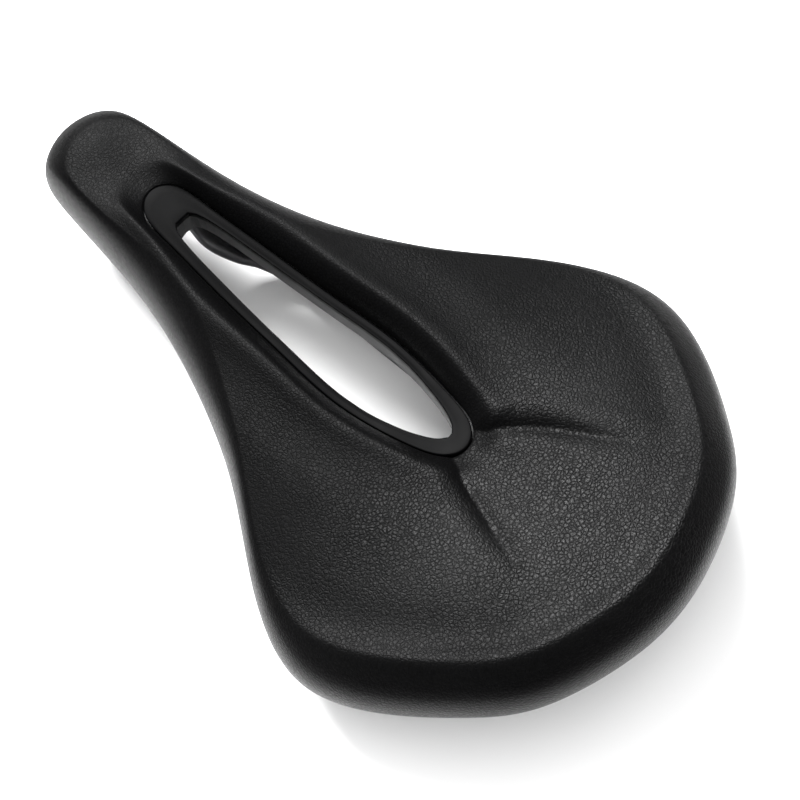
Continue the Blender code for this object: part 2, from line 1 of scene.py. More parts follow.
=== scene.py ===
"""Looks of the short-nose bicycle saddle: fine surfaces, materials, studio and camera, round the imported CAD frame.

Frame as in the CAD: nose to -Y, tail to +Y, rider's left +X, +Z up, rail undersides at Z = 0.
Lengths in the shape functions are in millimetres measured from the nose tip, as on the drawing.
"""

import math

import bmesh
import bpy
import numpy as np
from mathutils import Matrix, Vector


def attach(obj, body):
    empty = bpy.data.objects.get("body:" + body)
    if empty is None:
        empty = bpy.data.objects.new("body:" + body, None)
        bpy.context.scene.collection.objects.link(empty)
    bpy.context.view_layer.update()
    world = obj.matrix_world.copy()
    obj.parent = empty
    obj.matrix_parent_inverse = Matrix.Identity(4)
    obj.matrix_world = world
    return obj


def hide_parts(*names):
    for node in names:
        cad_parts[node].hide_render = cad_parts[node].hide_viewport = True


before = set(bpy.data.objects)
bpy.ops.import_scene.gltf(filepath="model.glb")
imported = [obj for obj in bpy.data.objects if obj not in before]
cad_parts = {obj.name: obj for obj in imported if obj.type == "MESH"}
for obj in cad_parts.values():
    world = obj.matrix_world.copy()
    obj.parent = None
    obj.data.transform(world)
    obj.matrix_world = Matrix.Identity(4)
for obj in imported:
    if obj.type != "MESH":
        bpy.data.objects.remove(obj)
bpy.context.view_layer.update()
MM = 0.001

# ------------------------------------------------------------------ camera first
FOCAL = 1800.0            # in widths of the 800 wide frame
cam_data = bpy.data.cameras.new("photo_camera")
cam_data.sensor_width = 36.0
cam_data.lens = FOCAL * 36.0 / 800.0
cam_data.clip_start, cam_data.clip_end = 0.05, 20.0
cam = bpy.data.objects.new("photo_camera", cam_data)
bpy.context.scene.collection.objects.link(cam)
RIGHT = Vector((-0.6791, 0.72933, -0.0831)).normalized()
AHEAD = Vector((-0.25228, -0.3382, -0.90663)).normalized()
RIGHT = (RIGHT - AHEAD * RIGHT.dot(AHEAD)).normalized()
UP = RIGHT.cross(AHEAD).normalized()
cam.matrix_world = Matrix(((RIGHT.x, UP.x, -AHEAD.x, 0.12749), (RIGHT.y, UP.y, -AHEAD.y, 0.19245),
                           (RIGHT.z, UP.z, -AHEAD.z, 0.49954), (0, 0, 0, 1)))
bpy.context.scene.camera = cam

# ------------------------------------------------------------------ driving dimensions, as in the CAD (mm)
LENGTH = 240.0
SKIN, SHELL, GAP, TRIM = 1.2, 2.4, 0.3, 2.0
HALF_WIDTH = [0, 12.5, 16.9, 18.8, 20.7, 25.2, 34.2, 48.0, 65.0, 74.0, 68.3, 55.3, 40.5, 19.5, 0]
# how far the padding swells past the drawing's outline, at the same angles, and ahead of its nose tip
COVER_SWELL = [0, 0.2, 0.1, 0.1, 0.5, 0.8, 0.7, 0.4, 1.6, 1.7, 0.6, 0.3, 0.2, 0.2, 0]
NOSE_REACH = 1.7
RING_Y0, RING_Y1 = 40.0, 167.0
RING_HALF = [0, 6.6, 8.4, 10.0, 11.4, 12.6, 10.2, 6.6, 0]
OPENING = [(53.5, 2.6), (56.0, 4.0), (62.0, 5.2), (80.0, 6.9), (104.0, 8.6), (126.0, 9.8), (134.0, 9.4),
           (148.0, 6.9), (156.0, 4.3), (159.0, 2.7), (160.7, 0.9)]
CROWN_Z = [(0, 47.5), (20, 50), (60, 50.5), (110, 50), (150, 51.5), (190, 55), (225, 58.2), (240, 59)]
CROWN_BEND = [(0, .012), (20, .011), (60, .008), (110, .0036), (150, .0022), (190, .0017), (240, .0015)]
PAD_DEPTH = [(0, 6.5), (33, 6.6), (60, 8.6), (100, 10.6), (140, 10.5), (166, 8.4), (200, 11.5), (225, 11.0), (240, 9.5)]
SHOULDER_IN = [(0, 13), (30, 12), (100, 11), (190, 11.5), (225, 11), (240, 11)]
SHOULDER_DROP = [(0, 14), (30, 15), (100, 16), (190, 14), (225, 14), (240, 14)]
FLANK_DROP = [(0, 10), (30, 11), (100, 11), (190, 9), (225, 10), (240, 11)]
FLANK_LEAN = [(0, 2.0), (60, 2.0), (110, 3.5), (240, 3.5)]
# Creases that run back from the ring's rear end: (half spacing of the crease's line, distance behind the nose tip)
CREASE_LEFT = [(163, 4.0), (169, 5.8), (173, 8.4), (182, 11.6), (193, 15.5), (202, 18.6), (212, 22.2), (240, 32.0)]
CREASE_RIGHT = [(163, 5.0), (168, 6.8), (173, 11.8), (180, 17.0), (188, 21.2), (196, 25.2), (204, 29.6), (240, 48.0)]
LIP_IN, LIP_RISE = 10.8, 1.2      # raised lip round the tail: distance in from the edge, height
# Layers and fittings under the cover, as in the CAD
FLANK_SKIN, EDGE_SKIN = 3.6, 2.5
PAD_X, PAD_Y, PAD_RX, PAD_RY, PAD_T = 41.0, 187.0, 18.0, 25.0, 4.2
ROD, RAIL_HALF_SPACING, CLAMP_Y0, CLAMP_Y1 = 7.0, 22.0, -32.0, 41.0
SOCKET_X, SOCKET_Z, SOCKET_Y0, SOCKET_Y1 = 32.0, 29.0, 66.0, 84.0
HOOP_R, HOOP_Y, HOOP_Z = 8.0, -87.0, 30.0
RAIL_FRONT_X = [(32, 22.0), (42, 21.8), (57, 16.8), (63, 12.2), (71, 8.05), (76.5, 8.0), (80, 8.0), (87, 8.0)]
RAIL_FRONT_Z = [(32, 3.5), (42, 3.7), (57, 8.2), (63, 11.8), (72, 21.6), (76.5, 27.4), (80, 29.6), (82.5, 30.0), (87, 30.0)]


def through(table, at):
    """Smooth monotone curve through (position, value) pairs."""
    xs = np.array([p[0] for p in table], float)
    ys = np.array([p[1] for p in table], float)
    h = np.diff(xs)
    d = np.diff(ys) / h
    m = np.zeros(len(xs))
    for i in range(1, len(xs) - 1):
        if d[i - 1] * d[i] > 0:
            w1, w2 = 2 * h[i] + h[i - 1], h[i] + 2 * h[i - 1]
            m[i] = (w1 + w2) / (w1 / d[i - 1] + w2 / d[i])
    m[0], m[-1] = d[0], d[-1]
    at = np.clip(np.asarray(at, float), xs[0], xs[-1])
    k = np.clip(np.searchsorted(xs, at, side="right") - 1, 0, len(h) - 1)
    t = (at - xs[k]) / h[k]
    return ((1 + 2 * t) * (1 - t) ** 2 * ys[k] + t * (1 - t) ** 2 * h[k] * m[k]
            + t * t * (3 - 2 * t) * ys[k + 1] + t * t * (t - 1) * h[k] * m[k + 1])


def loop_spline(values, at):
    """Cubic spline through half widths given at equal angles from 0 to pi, odd about both ends."""
    v = np.array(values, float)
    n = len(v) - 1
    full = np.r_[v, -v[-2:0:-1]]
    step = math.pi / n
    size = len(full)
    a = np.zeros((size, size))
    for i in range(size):
        a[i, i] = 4
        a[i, (i + 1) % size] = a[i, (i - 1) % size] = 1
    second = np.linalg.solve(a, 6 * (np.roll(full, -1) - 2 * full + np.roll(full, 1)) / step ** 2)
    at = np.asarray(at, float)
    k = np.minimum((at / step).astype(int), n - 1)
    t = at / step - k
    a0, a1, m0, m1 = full[k], full[(k + 1) % size], second[k], second[(k + 1) % size]
    return (a0 * (1 - t) + a1 * t + step ** 2 / 6 * (((1 - t) ** 3 - (1 - t)) * m0 + (t ** 3 - t) * m1))


def least(a, b):
    return (a ** -5.0 + b ** -5.0) ** (-1 / 5.0)


def smooth(t):
    t = np.clip(t, 0, 1)
    return t * t * (3 - 2 * t)


def bump(t):
    """1 at 0, smoothly 0 at -1 and 1."""
    return 1 - smooth(np.abs(t))


def outline(phi, swell=1.0):
    """Edge of the saddle seen from above: the drawing's at swell 0, the padding's at swell 1."""
    half = np.array(HALF_WIDTH, float) + swell * np.array(COVER_SWELL)
    return np.stack([loop_spline(half, phi), LENGTH / 2 * (1 - np.cos(phi)) - swell * NOSE_REACH * bump(phi / 0.45)], -1)


def ring_edge(phi):
    return np.stack([loop_spline(RING_HALF, phi), RING_Y0 + (RING_Y1 - RING_Y0) / 2 * (1 - np.cos(phi))], -1)


def plan_normals(edge):
    d = np.gradient(edge, axis=0)
    n = np.stack([d[:, 1], -d[:, 0]], -1)
    n /= np.linalg.norm(n, axis=1)[:, None]
    n[0], n[-1] = (0, -1), (0, 1)
    return n


def crown(x, y):
    return through(CROWN_Z, y) - through(CROWN_BEND, y) * x * x


def shell_top(x, y):
    return crown(x, y) - through(PAD_DEPTH, y)


def trim_top(x, y):
    return shell_top(x, y) + GAP + TRIM


def to_world(p):
    p = np.array(p, float)
    p[..., 1] -= LENGTH / 2
    return p * MM


# ------------------------------------------------------------------ the padding's surface
STATIONS = 241
PHI = np.linspace(0, math.pi, STATIONS)
Q = np.r_[np.linspace(0, 1, 89), np.linspace(1, 2, 43)[1:], np.linspace(2, 3, 13)[1:]]


def padding():
    """Outer face of the padding over one half, as (station, q, xyz)."""
    ring = ring_edge(PHI)
    ring = ring + plan_normals(ring) * 0.35
    edge = outline(PHI)
    normal = plan_normals(edge)
    run = edge - ring
    length = np.linalg.norm(run, axis=1)
    unit = run / length[:, None]
    y_edge = edge[:, 1]
    inset = least(through(SHOULDER_IN, y_edge), 0.74 * length)
    drop, flank = through(SHOULDER_DROP, y_edge), through(FLANK_DROP, y_edge)
    hollow = crown(ring[:, 0], ring[:, 1]) - trim_top(ring[:, 0], ring[:, 1]) + 0.25
    side = np.sin(PHI) ** 0.7
    reach = least(7.0 + 3.0 * (1 - side), length - 0.45 * inset)
    valley = 0.8 * np.abs(np.cos(PHI)) ** 8
    surface = np.zeros((len(PHI), len(Q), 3))
    for j, q in enumerate(Q):
        if q <= 1:
            r = (length - inset) * q ** 1.35
            fall = 0 * r
        else:
            u = min(q - 1, 1.0)
            u = u + 0.18 * u * (1 - u)
            r = length - inset + inset * u
            fall = drop * (1 - (1 - u ** 1.8) ** (1 / 1.8))
        p = ring + unit * r[:, None]
        x, y = p[:, 0], p[:, 1]
        z = crown(x, y) - fall
        t = np.clip(r / reach, 0, 1)
        wall = 1 - (1 - (1 - t) ** 1.9) ** 0.72
        far = smooth(r / (length * 0.9))
        z = z - hollow * ((1 - valley) * wall + valley * (1 - far) ** 1.4)
        # rounded ridge beside the opening, and a low trough outside it
        z = z + side * (0.75 * np.exp(-((r - 7.5) / 4.0) ** 2) - 0.5 * np.exp(-((r - 19.0) / 7.0) ** 2))
        # lip round the rear
        inside = length - r
        z = z + LIP_RISE * smooth((y_edge - 150) / 50) * (np.exp(-((inside - LIP_IN) / 3.6) ** 2)
                                                          - 0.35 * np.exp(-((inside - LIP_IN - 9) / 6.0) ** 2))
        if q > 2:
            v = q - 2
            p = p - normal * (through(FLANK_LEAN, y_edge) * v * v)[:, None]
            z = z - flank * v
        surface[:, j, :2] = p
        surface[:, j, 2] = z
    surface[0, :, 0] = surface[-1, :, 0] = 0
    return surface


def layer(extra):
    """Surface extra mm below the shell's outer face, with the padding's stations and columns."""
    ring = ring_edge(PHI)
    ring = ring + plan_normals(ring) * 0.4
    edge = outline(PHI, 0.0)
    normal = plan_normals(edge)
    run = edge - ring
    length = np.linalg.norm(run, axis=1)
    unit = run / length[:, None]
    slant = np.clip((unit * normal).sum(axis=1), 0.5, 1)
    y_edge = edge[:, 1]
    inset = least(through(SHOULDER_IN, y_edge), 0.74 * length)
    widest = crown(edge[:, 0], edge[:, 1]) - through(SHOULDER_DROP, y_edge)
    side = (FLANK_SKIN + extra) / slant
    end = edge - unit * side[:, None]
    knee = np.maximum(crown(end[:, 0], end[:, 1]) - through(PAD_DEPTH, end[:, 1]) - extra - widest + 0.6 * extra, 0.2)
    surface = np.zeros((len(PHI), len(Q), 3))
    for j, q in enumerate(Q):
        u = np.clip(q - 1, 0, 1)
        r = (length - inset) * min(q, 1) + (inset - side) * u
        p = ring + unit * r[:, None]
        z = crown(p[:, 0], p[:, 1]) - through(PAD_DEPTH, p[:, 1]) - extra - knee * (1 - (1 - u ** 1.8) ** (1 / 1.8))
        if q > 2:
            v = q - 2
            inward = FLANK_SKIN + (EDGE_SKIN - FLANK_SKIN) * min(v / 0.8, 1) + extra
            p = edge - normal * (through(FLANK_LEAN, y_edge) * v * v + inward)[:, None]
            z = widest - through(FLANK_DROP, y_edge) * v
        surface[:, j, :2] = p
        surface[:, j, 2] = z
    surface[0, :, 0] = surface[-1, :, 0] = 0
    return surface


def crease(x, y):
    """Depth of the two creases and the dip between them, right and left unlike each other."""
    depth = np.zeros_like(x)
    for table, sign, end, most in ((CREASE_LEFT, 1, 216.0, 1.5), (CREASE_RIGHT, -1, 212.0, 1.7)):
        line = sign * through(table, y)
        slope = (through(table, y + 1) - through(table, y - 1)) / 2
        across = (x - line) * sign / np.sqrt(1 + slope ** 2)      # positive outside the wedge
        fade = smooth((y - 161) / 7) * (1 - smooth((y - 178) / (end - 178))) ** 0.8
        groove = np.where(across > 0, np.exp(-(np.abs(across) / 2.0) ** 1.4), np.exp(-(np.abs(across) / 2.9) ** 1.6))
        swell = np.exp(-((across - 6.5) / 3.6) ** 2)
        depth += fade * (most * groove - 0.45 * swell)
    return depth


def whole(half):
    """Both halves of the loop, from one half given nose to tail."""
    return np.concatenate([half, (half * [-1, 1, 1])[-2:0:-1]], axis=0)


def loop_normals(s):
    ds = np.roll(s, -1, axis=0) - np.roll(s, 1, axis=0)
    dq = np.gradient(s, axis=1)
    n = np.cross(dq, ds)
    n /= np.maximum(np.linalg.norm(n, axis=2), 1e-9)[:, :, None]
    n *= np.sign(n[:, 3:6, 2].mean())
    return n


def ring_mesh(name, sections, closed):
    """Quads through sections that go all round the saddle; a closed section makes a solid ring."""
    n, m = sections.shape[:2]
    index = np.arange(n * m).reshape(n, m)
    nxt = np.roll(index, -1, axis=0)
    if closed:
        a, b, c, d = index, np.roll(index, -1, 1), np.roll(nxt, -1, 1), nxt
    else:
        a, b, c, d = index[:, :-1], index[:, 1:], nxt[:, 1:], nxt[:, :-1]
    quads = np.stack([a, b, c, d], -1).reshape(-1, 4)
    mesh = bpy.data.meshes.new(name)
    mesh.from_pydata(to_world(sections).reshape(-1, 3).tolist(), [], quads.tolist())
    bm = bmesh.new()
    bm.from_mesh(mesh)
    bmesh.ops.recalc_face_normals(bm, faces=bm.faces)
    bm.to_mesh(mesh)
    bm.free()
    mesh.shade_smooth()
    obj = bpy.data.objects.new(name, mesh)
    bpy.context.scene.collection.objects.link(obj)
    return obj


OUTER = whole(padding())
fading = np.clip(1 - np.maximum(Q - 1.2, 0) / 0.5, 0, 1)[None, :]
OUTER[:, :, 2] -= crease(OUTER[:, :, 0], OUTER[:, :, 1]) * fading
OUTER_N = loop_normals(OUTER)


def cover_sections():
    """Closed section of the cover: outer face, roll under the edge, and back along its inner face."""
    edge, out = OUTER[:, -1], OUTER_N[:, -1]
    down = OUTER[:, -1] - OUTER[:, -2]
    down /= np.linalg.norm(down, axis=1)[:, None]
    # the free inner end keeps its place behind the shell's wall, however far the padding swells
    swell = ((outline(PHI) - outline(PHI, 0.0)) * plan_normals(outline(PHI))).sum(axis=1)
    swell = np.r_[swell, swell[-2:0:-1]][:, None]
    centre_in, depth = 3.7 + 0.7 * swell, 2.0 + 0.5 * swell
    lift = np.array([0.0, 0.0, 1.0])
    outer = [OUTER[:, j] for j in range(len(Q))]
    inner = [OUTER[:, j] - OUTER_N[:, j] * SKIN for j in range(len(Q))]
    for a in np.linspace(0, math.pi, 17)[1:]:
        outer.append(edge + down * (depth * math.sin(a)) - out * (centre_in * (1 - math.cos(a))))
        inner.append(edge + down * ((depth - SKIN) * math.sin(a)) - out * (centre_in - (centre_in - SKIN) * math.cos(a)))
    for t in (1.2, 2.4, 3.4, 4.0):
        outer.append(edge + lift * t - out * 2 * centre_in)
        inner.append(edge + lift * t - out * (2 * centre_in - SKIN))
    # soft fold at the free inner end
    last_o, last_i = outer[-1], inner[-1]
    outer.append(last_o * 0.75 + last_i * 0.25 + lift * 0.3)
    inner.append(last_o * 0.25 + last_i * 0.75 + lift * 0.3)
    return np.stack(outer + inner[::-1], axis=1)


# ------------------------------------------------------------------ materials
def new_material(name):
    m = bpy.data.materials.new(name)
    m.use_nodes = True
    tree = m.node_tree
    return m, tree, tree.nodes["Principled BSDF"]


def node(tree, kind, **values):
    n = tree.nodes.new(kind)
    for key, value in values.items():
        if key in n.inputs.keys() if hasattr(n, "inputs") else False:
            n.inputs[key].default_value = value
        else:
            setattr(n, key, value)
    return n


def ramp(tree, source, stops, colour=False):
    r = tree.nodes.new("ShaderNodeValToRGB")
    el = r.color_ramp.elements
    while len(el) < len(stops):
        el.new(0.5)
    for e, (pos, value) in zip(el, stops):
        e.position = pos
        e.color = (*value, 1) if colour else (value, value, value, 1)
    tree.links.new(source, r.inputs[0])
    return r.outputs[0]


def math_node(tree, op, a, b=None, c=None):
    n = tree.nodes.new("ShaderNodeMath")
    n.operation = op
    for k, v in enumerate((a, b, c)):
        if v is None:
            continue
        if isinstance(v, (int, float)):
            n.inputs[k].default_value = v
        else:
            tree.links.new(v, n.inputs[k])
    return n.outputs[0]


def leather():
    m, t, shader = new_material("black_microfibre")
    co = t.nodes.new("ShaderNodeTexCoord").outputs["Object"]
    # slow warp so that the cells aren't regular
    warp = node(t, "ShaderNodeTexNoise", Scale=420.0, Detail=2.0)
    t.links.new(co, warp.inputs["Vector"])
    shift = node(t, "ShaderNodeVectorMath", operation="SCALE")
    t.links.new(warp.outputs["Color"], shift.inputs[0])
    shift.inputs["Scale"].default_value = 0.0007
    where = node(t, "ShaderNodeVectorMath", operation="ADD")
    t.links.new(co, where.inputs[0])
    t.links.new(shift.outputs[0], where.inputs[1])
    cells = node(t, "ShaderNodeTexVoronoi", feature="DISTANCE_TO_EDGE", Scale=880.0)
    t.links.new(where.outputs[0], cells.inputs["Vector"])
    fine = node(t, "ShaderNodeTexVoronoi", feature="DISTANCE_TO_EDGE", Scale=1700.0)
    t.links.new(where.outputs[0], fine.inputs["Vector"])
    pebble = ramp(t, cells.outputs["Distance"], [(0.0, 0.0), (0.07, 0.5), (0.26, 1.0)])
    small = ramp(t, fine.outputs["Distance"], [(0.0, 0.0), (0.12, 0.75), (0.3, 1.0)])
    grit = node(t, "ShaderNodeTexNoise", Scale=4200.0, Detail=3.0, Roughness=0.6)
    t.links.new(co, grit.inputs["Vector"])
    # the pebbling is strong in some places and faint in others
    patch = node(t, "ShaderNodeTexNoise", Scale=26.0, Detail=2.0)
    t.links.new(co, patch.inputs["Vector"])
    amount = ramp(t, patch.outputs["Fac"], [(0.32, 0.55), (0.62, 1.0)])
    # and coarser toward the tail, where the cover is stretched over the wedge and its creases
    place = t.nodes.new("ShaderNodeSeparateXYZ")
    t.links.new(co, place.inputs[0])
    rear = ramp(t, math_node(t, "MULTIPLY_ADD", place.outputs["Y"], 4.0, 0.5), [(0.35, 0.7), (0.62, 1.6)])
    height = math_node(t, "MULTIPLY", math_node(t, "MULTIPLY", pebble, amount), rear)
    height = math_node(t, "ADD", height, math_node(t, "MULTIPLY", small, 0.42))
    height = math_node(t, "ADD", height, math_node(t, "MULTIPLY", grit.outputs["Fac"], 0.3))
    relief = node(t, "ShaderNodeBump", Strength=0.6, Distance=0.00012)
    t.links.new(height, relief.inputs["Height"])
    t.links.new(relief.outputs[0], shader.inputs["Normal"])
    # colour: near black, darker in the grooves, slow unevenness
    blotch = node(t, "ShaderNodeTexNoise", Scale=35.0, Detail=4.0, Roughness=0.6)
    t.links.new(co, blotch.inputs["Vector"])
    tone = math_node(t, "MULTIPLY", ramp(t, pebble, [(0, 0.6), (1, 1.0)]),
                     ramp(t, blotch.outputs["Fac"], [(0.3, 0.85), (0.7, 1.0)]))
    mix = t.nodes.new("ShaderNodeMix")
    mix.data_type = "RGBA"
    mix.inputs[6].default_value = (0.0, 0.0, 0.0, 1)
    mix.inputs[7].default_value = (0.0024, 0.0024, 0.0025, 1)
    t.links.new(tone, mix.inputs[0])
    t.links.new(mix.outputs[2], shader.inputs["Base Color"])
    rough = math_node(t, "ADD", ramp(t, pebble, [(0, 0.45), (1, 0.31)]),
                      ramp(t, blotch.outputs["Fac"], [(0.3, 0.0), (0.7, 0.08)]))
    t.links.new(rough, shader.inputs["Roughness"])
    # polished where it is sat on, dull and fibrous down the flanks
    facing = t.nodes.new("ShaderNodeSeparateXYZ")
    t.links.new(t.nodes.new("ShaderNodeNewGeometry").outputs["Normal"], facing.inputs[0])
    polish = ramp(t, math_node(t, "MULTIPLY_ADD", place.outputs["Y"], 4.0, 0.5), [(0.0, 0.27), (0.3, 0.38), (0.60, 0.44), (0.74, 0.95), (0.9, 1.05)])
    shine = ramp(t, facing.outputs["Z"], [(0.0, 0.34), (0.25, 0.20), (0.5, 0.035), (0.62, 0.018), (0.76, 0.025),
                                         (0.9, 0.060), (0.98, 0.098), (1.0, 0.112)])
    off_middle = ramp(t, math_node(t, "ABSOLUTE", math_node(t, "MULTIPLY", place.outputs["X"], 10.0)), [(0.1, 1.15), (0.4, 0.72)])
    polish = math_node(t, "MULTIPLY", polish, off_middle)
    t.links.new(math_node(t, "MULTIPLY", polish, shine), shader.inputs["Specular IOR Level"])
    return m


def moulded(name, colour, rough, grain=2600.0, depth=0.00004, strength=0.35, gloss=0.5):
    m, t, shader = new_material(name)
    shader.inputs["Specular IOR Level"].default_value = gloss
    co = t.nodes.new("ShaderNodeTexCoord").outputs["Object"]
    n = node(t, "ShaderNodeTexNoise", Scale=grain, Detail=4.0, Roughness=0.55)
    t.links.new(co, n.inputs["Vector"])
    relief = node(t, "ShaderNodeBump", Strength=strength, Distance=depth)
    t.links.new(n.outputs["Fac"], relief.inputs["Height"])
    t.links.new(relief.outputs[0], shader.inputs["Normal"])
    slow = node(t, "ShaderNodeTexNoise", Scale=60.0, Detail=3.0)
    t.links.new(co, slow.inputs["Vector"])
    t.links.new(ramp(t, slow.outputs["Fac"], [(0.3, rough - 0.05), (0.7, rough + 0.07)]), shader.inputs["Roughness"])
    t.links.new(ramp(t, slow.outputs["Fac"], [(0.3, tuple(c * 0.88 for c in colour)),
                                              (0.7, tuple(c * 1.1 for c in colour))], True), shader.inputs["Base Color"])
    return m


def metal(name, colour, rough, scale=(400, 60, 400)):
    m, t, shader = new_material(name)
    co = t.nodes.new("ShaderNodeTexCoord").outputs["Object"]
    place = t.nodes.new("ShaderNodeMapping")
    place.inputs["Scale"].default_value = scale
    t.links.new(co, place.inputs["Vector"])
    n = node(t, "ShaderNodeTexNoise", Scale=6.0, Detail=4.0)
    t.links.new(place.outputs[0], n.inputs["Vector"])
    t.links.new(ramp(t, n.outputs["Fac"], [(0.3, rough - 0.06), (0.7, rough + 0.08)]), shader.inputs["Roughness"])
    t.links.new(ramp(t, n.outputs["Fac"], [(0.3, tuple(c * 0.85 for c in colour)), (0.7, colour)], True),
                shader.inputs["Base Color"])
    shader.inputs["Metallic"].default_value = 1.0
    return m


LEATHER = leather()
TRIM_MAT = moulded("charcoal_plastic", (0.0011, 0.0011, 0.0012), 0.42, 3200.0, 0.00003, 0.3, 0.016)
NYLON = moulded("black_nylon", (0.013, 0.013, 0.0135), 0.48, 1500.0, 0.00006, 0.5, 0.35)
RUBBER = moulded("black_rubber", (0.012, 0.012, 0.012), 0.75, 1200.0, 0.00004, 0.4)
FOAM = moulded("moulded_foam", (0.05, 0.05, 0.052), 0.9, 900.0, 0.0002, 0.8)
GEL = moulded("soft_pad", (0.10, 0.105, 0.12), 0.7, 500.0, 0.0001, 0.4)
RAIL_MAT = metal("black_steel", (0.06, 0.06, 0.062), 0.34)
SCREW_MAT = metal("zinc_steel", (0.55, 0.55, 0.56), 0.28)
BRASS = metal("brass", (0.60, 0.42, 0.16), 0.3)


def finish_piece(obj, mat):
    obj.data.materials.clear()
    obj.data.materials.append(mat)
    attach(obj, "root")
    return obj


# ------------------------------------------------------------------ cover
cover = ring_mesh("cover_skin", cover_sections(), True)
finish_piece(cover, LEATHER)
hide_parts("cover")


# ------------------------------------------------------------------ foam and sit pads
def foam_sections():
    q = Q[(Q > 0.045) & (Q <= 2.2)]
    columns = [int(np.argmin(abs(Q - v))) for v in q][::2]
    upper = (OUTER - OUTER_N * (SKIN + 0.4))[:, columns]
    under = whole(layer(-GAP - 0.1))[:, columns]
    for side in (1, -1):
        spot = (((under[:, :, 0] - side * PAD_X) / (PAD_RX + 0.8)) ** 2 + ((under[:, :, 1] - PAD_Y) / (PAD_RY + 0.8)) ** 2)
        under[:, :, 2] += (PAD_T + 1.6) * np.sqrt(np.clip(1 - spot, 0, 1))
    # thin where the creases press it onto the shell
    shell = whole(layer(0.0))[:, columns]
    under[:, :, 2] = np.maximum(np.minimum(under[:, :, 2], upper[:, :, 2] - 0.6), shell[:, :, 2] + 0.12)
    upper[:, :, 2] = np.maximum(upper[:, :, 2], under[:, :, 2] + 0.2)
    return np.concatenate([upper, under[:, ::-1]], axis=1)


foam = ring_mesh("foam_body", foam_sections(), True)
finish_piece(foam, FOAM)
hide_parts("foam_pad")


def sit_pad(name, side):
    """Low dome with a rounded rim, domed side up, following the shell's arch."""
    rings, around = 26, 72
    rows = []
    for k in range(1, rings):
        b = math.pi * k / rings
        c, w = math.cos(b), math.sin(b) ** 0.82
        a = np.linspace(0, 2 * math.pi, around, endpoint=False)
        x, y = side * PAD_X + PAD_RX * w * np.cos(a), PAD_Y + PAD_RY * w * np.sin(a)
        rise = 0.8 + (PAD_T - 0.8) * c if c > 0 else 0.8 * (1 + c)
        rise = rise + (0.16 * np.cos(w * 9 * math.pi) if c > 0 else 0)
        rows.append(np.column_stack([x, y, shell_top(x, y) + GAP + 0.25 + rise]))
    rows = np.array(rows)
    bm = bmesh.new()
    verts = [[bm.verts.new(p) for p in r] for r in to_world(rows)]
    for r0, r1 in zip(verts, verts[1:]):
        for j in range(around):
            k = (j + 1) % around
            bm.faces.new((r0[j], r0[k], r1[k], r1[j]))
    bm.faces.new(verts[0])
    bm.faces.new(verts[-1])
    bmesh.ops.recalc_face_normals(bm, faces=bm.faces)
    mesh = bpy.data.meshes.new(name)
    bm.to_mesh(mesh)
    bm.free()
    mesh.shade_smooth()
    obj = bpy.data.objects.new(name, mesh)
    bpy.context.scene.collection.objects.link(obj)
    finish_piece(obj, GEL)
    return obj


for label, side in (("left", 1), ("right", -1)):
    pad = sit_pad("soft_pad_" + label, side)
    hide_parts("sit_pad_" + label)


# ------------------------------------------------------------------ ring round the opening
def opening_edge(phi, grow=0.0):
    y0, y1 = OPENING[0][0], OPENING[-1][0] + 0.15
    y = y0 + (y1 - y0) / 2 * (1 - np.cos(phi))
    x = through(OPENING, y)
    x = np.where((phi < 1e-9) | (phi > math.pi - 1e-9), 0, x)
    return np.stack([x, y], -1)


def trim_sections():
    a, b = opening_edge(PHI), ring_edge(PHI)
    span = np.linalg.norm(b - a, axis=1)
    rows = []
    for from_a, from_b, dz in ((0, None, -TRIM), (0, None, -0.32), (0.05, None, -0.14), (0.2, None, -0.03),
                               (0.45, None, 0.0), (None, 0.5, 0.0), (None, 0.2, -0.05), (None, 0.06, -0.18),
                               (None, 0, -0.4), (None, 0, -TRIM)):
        w = (from_a / span if from_a is not None else 1 - from_b / span)[:, None]
        p = a + (b - a) * w
        rows.append(np.column_stack([p, trim_top(p[:, 0], p[:, 1]) + dz]))
        if from_a == 0.45:
            for part in (0.25, 0.5, 0.75):
                p = a + (b - a) * part
                rows.append(np.column_stack([p, trim_top(p[:, 0], p[:, 1]) - 0.12 * math.sin(math.pi * part)]))
    s = np.stack(rows, axis=1)
    s[0, :, 0] = s[-1, :, 0] = 0
    return s


trim = ring_mesh("opening_trim", whole(trim_sections()), True)
finish_piece(trim, TRIM_MAT)
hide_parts("cutout_trim")


# ------------------------------------------------------------------ rail: the same bent rod, rounder
def rail_points():
    side = [(SOCKET_X, SOCKET_Y1, SOCKET_Z), (SOCKET_X, SOCKET_Y0, SOCKET_Z)]
    for t in np.linspace(0, 1, 25)[1:-1]:
        k = smooth(t)
        side.append((SOCKET_X + (RAIL_HALF_SPACING - SOCKET_X) * k, SOCKET_Y0 + (CLAMP_Y1 - SOCKET_Y0) * t,
                     SOCKET_Z + (ROD / 2 - SOCKET_Z) * k))
    side += [(RAIL_HALF_SPACING, y, ROD / 2) for y in np.linspace(CLAMP_Y1, CLAMP_Y0, 12)]
    for ahead in np.linspace(-CLAMP_Y0, 84, 53)[1:]:
        side.append((float(through(RAIL_FRONT_X, ahead)), -float(ahead), float(through(RAIL_FRONT_Z, ahead))))
    for t in np.linspace(0, math.pi / 2, 13):
        side.append((HOOP_R * math.cos(t), HOOP_Y - HOOP_R * math.sin(t), HOOP_Z))
    return side + [(-x, y, z) for x, y, z in side[-2::-1]]


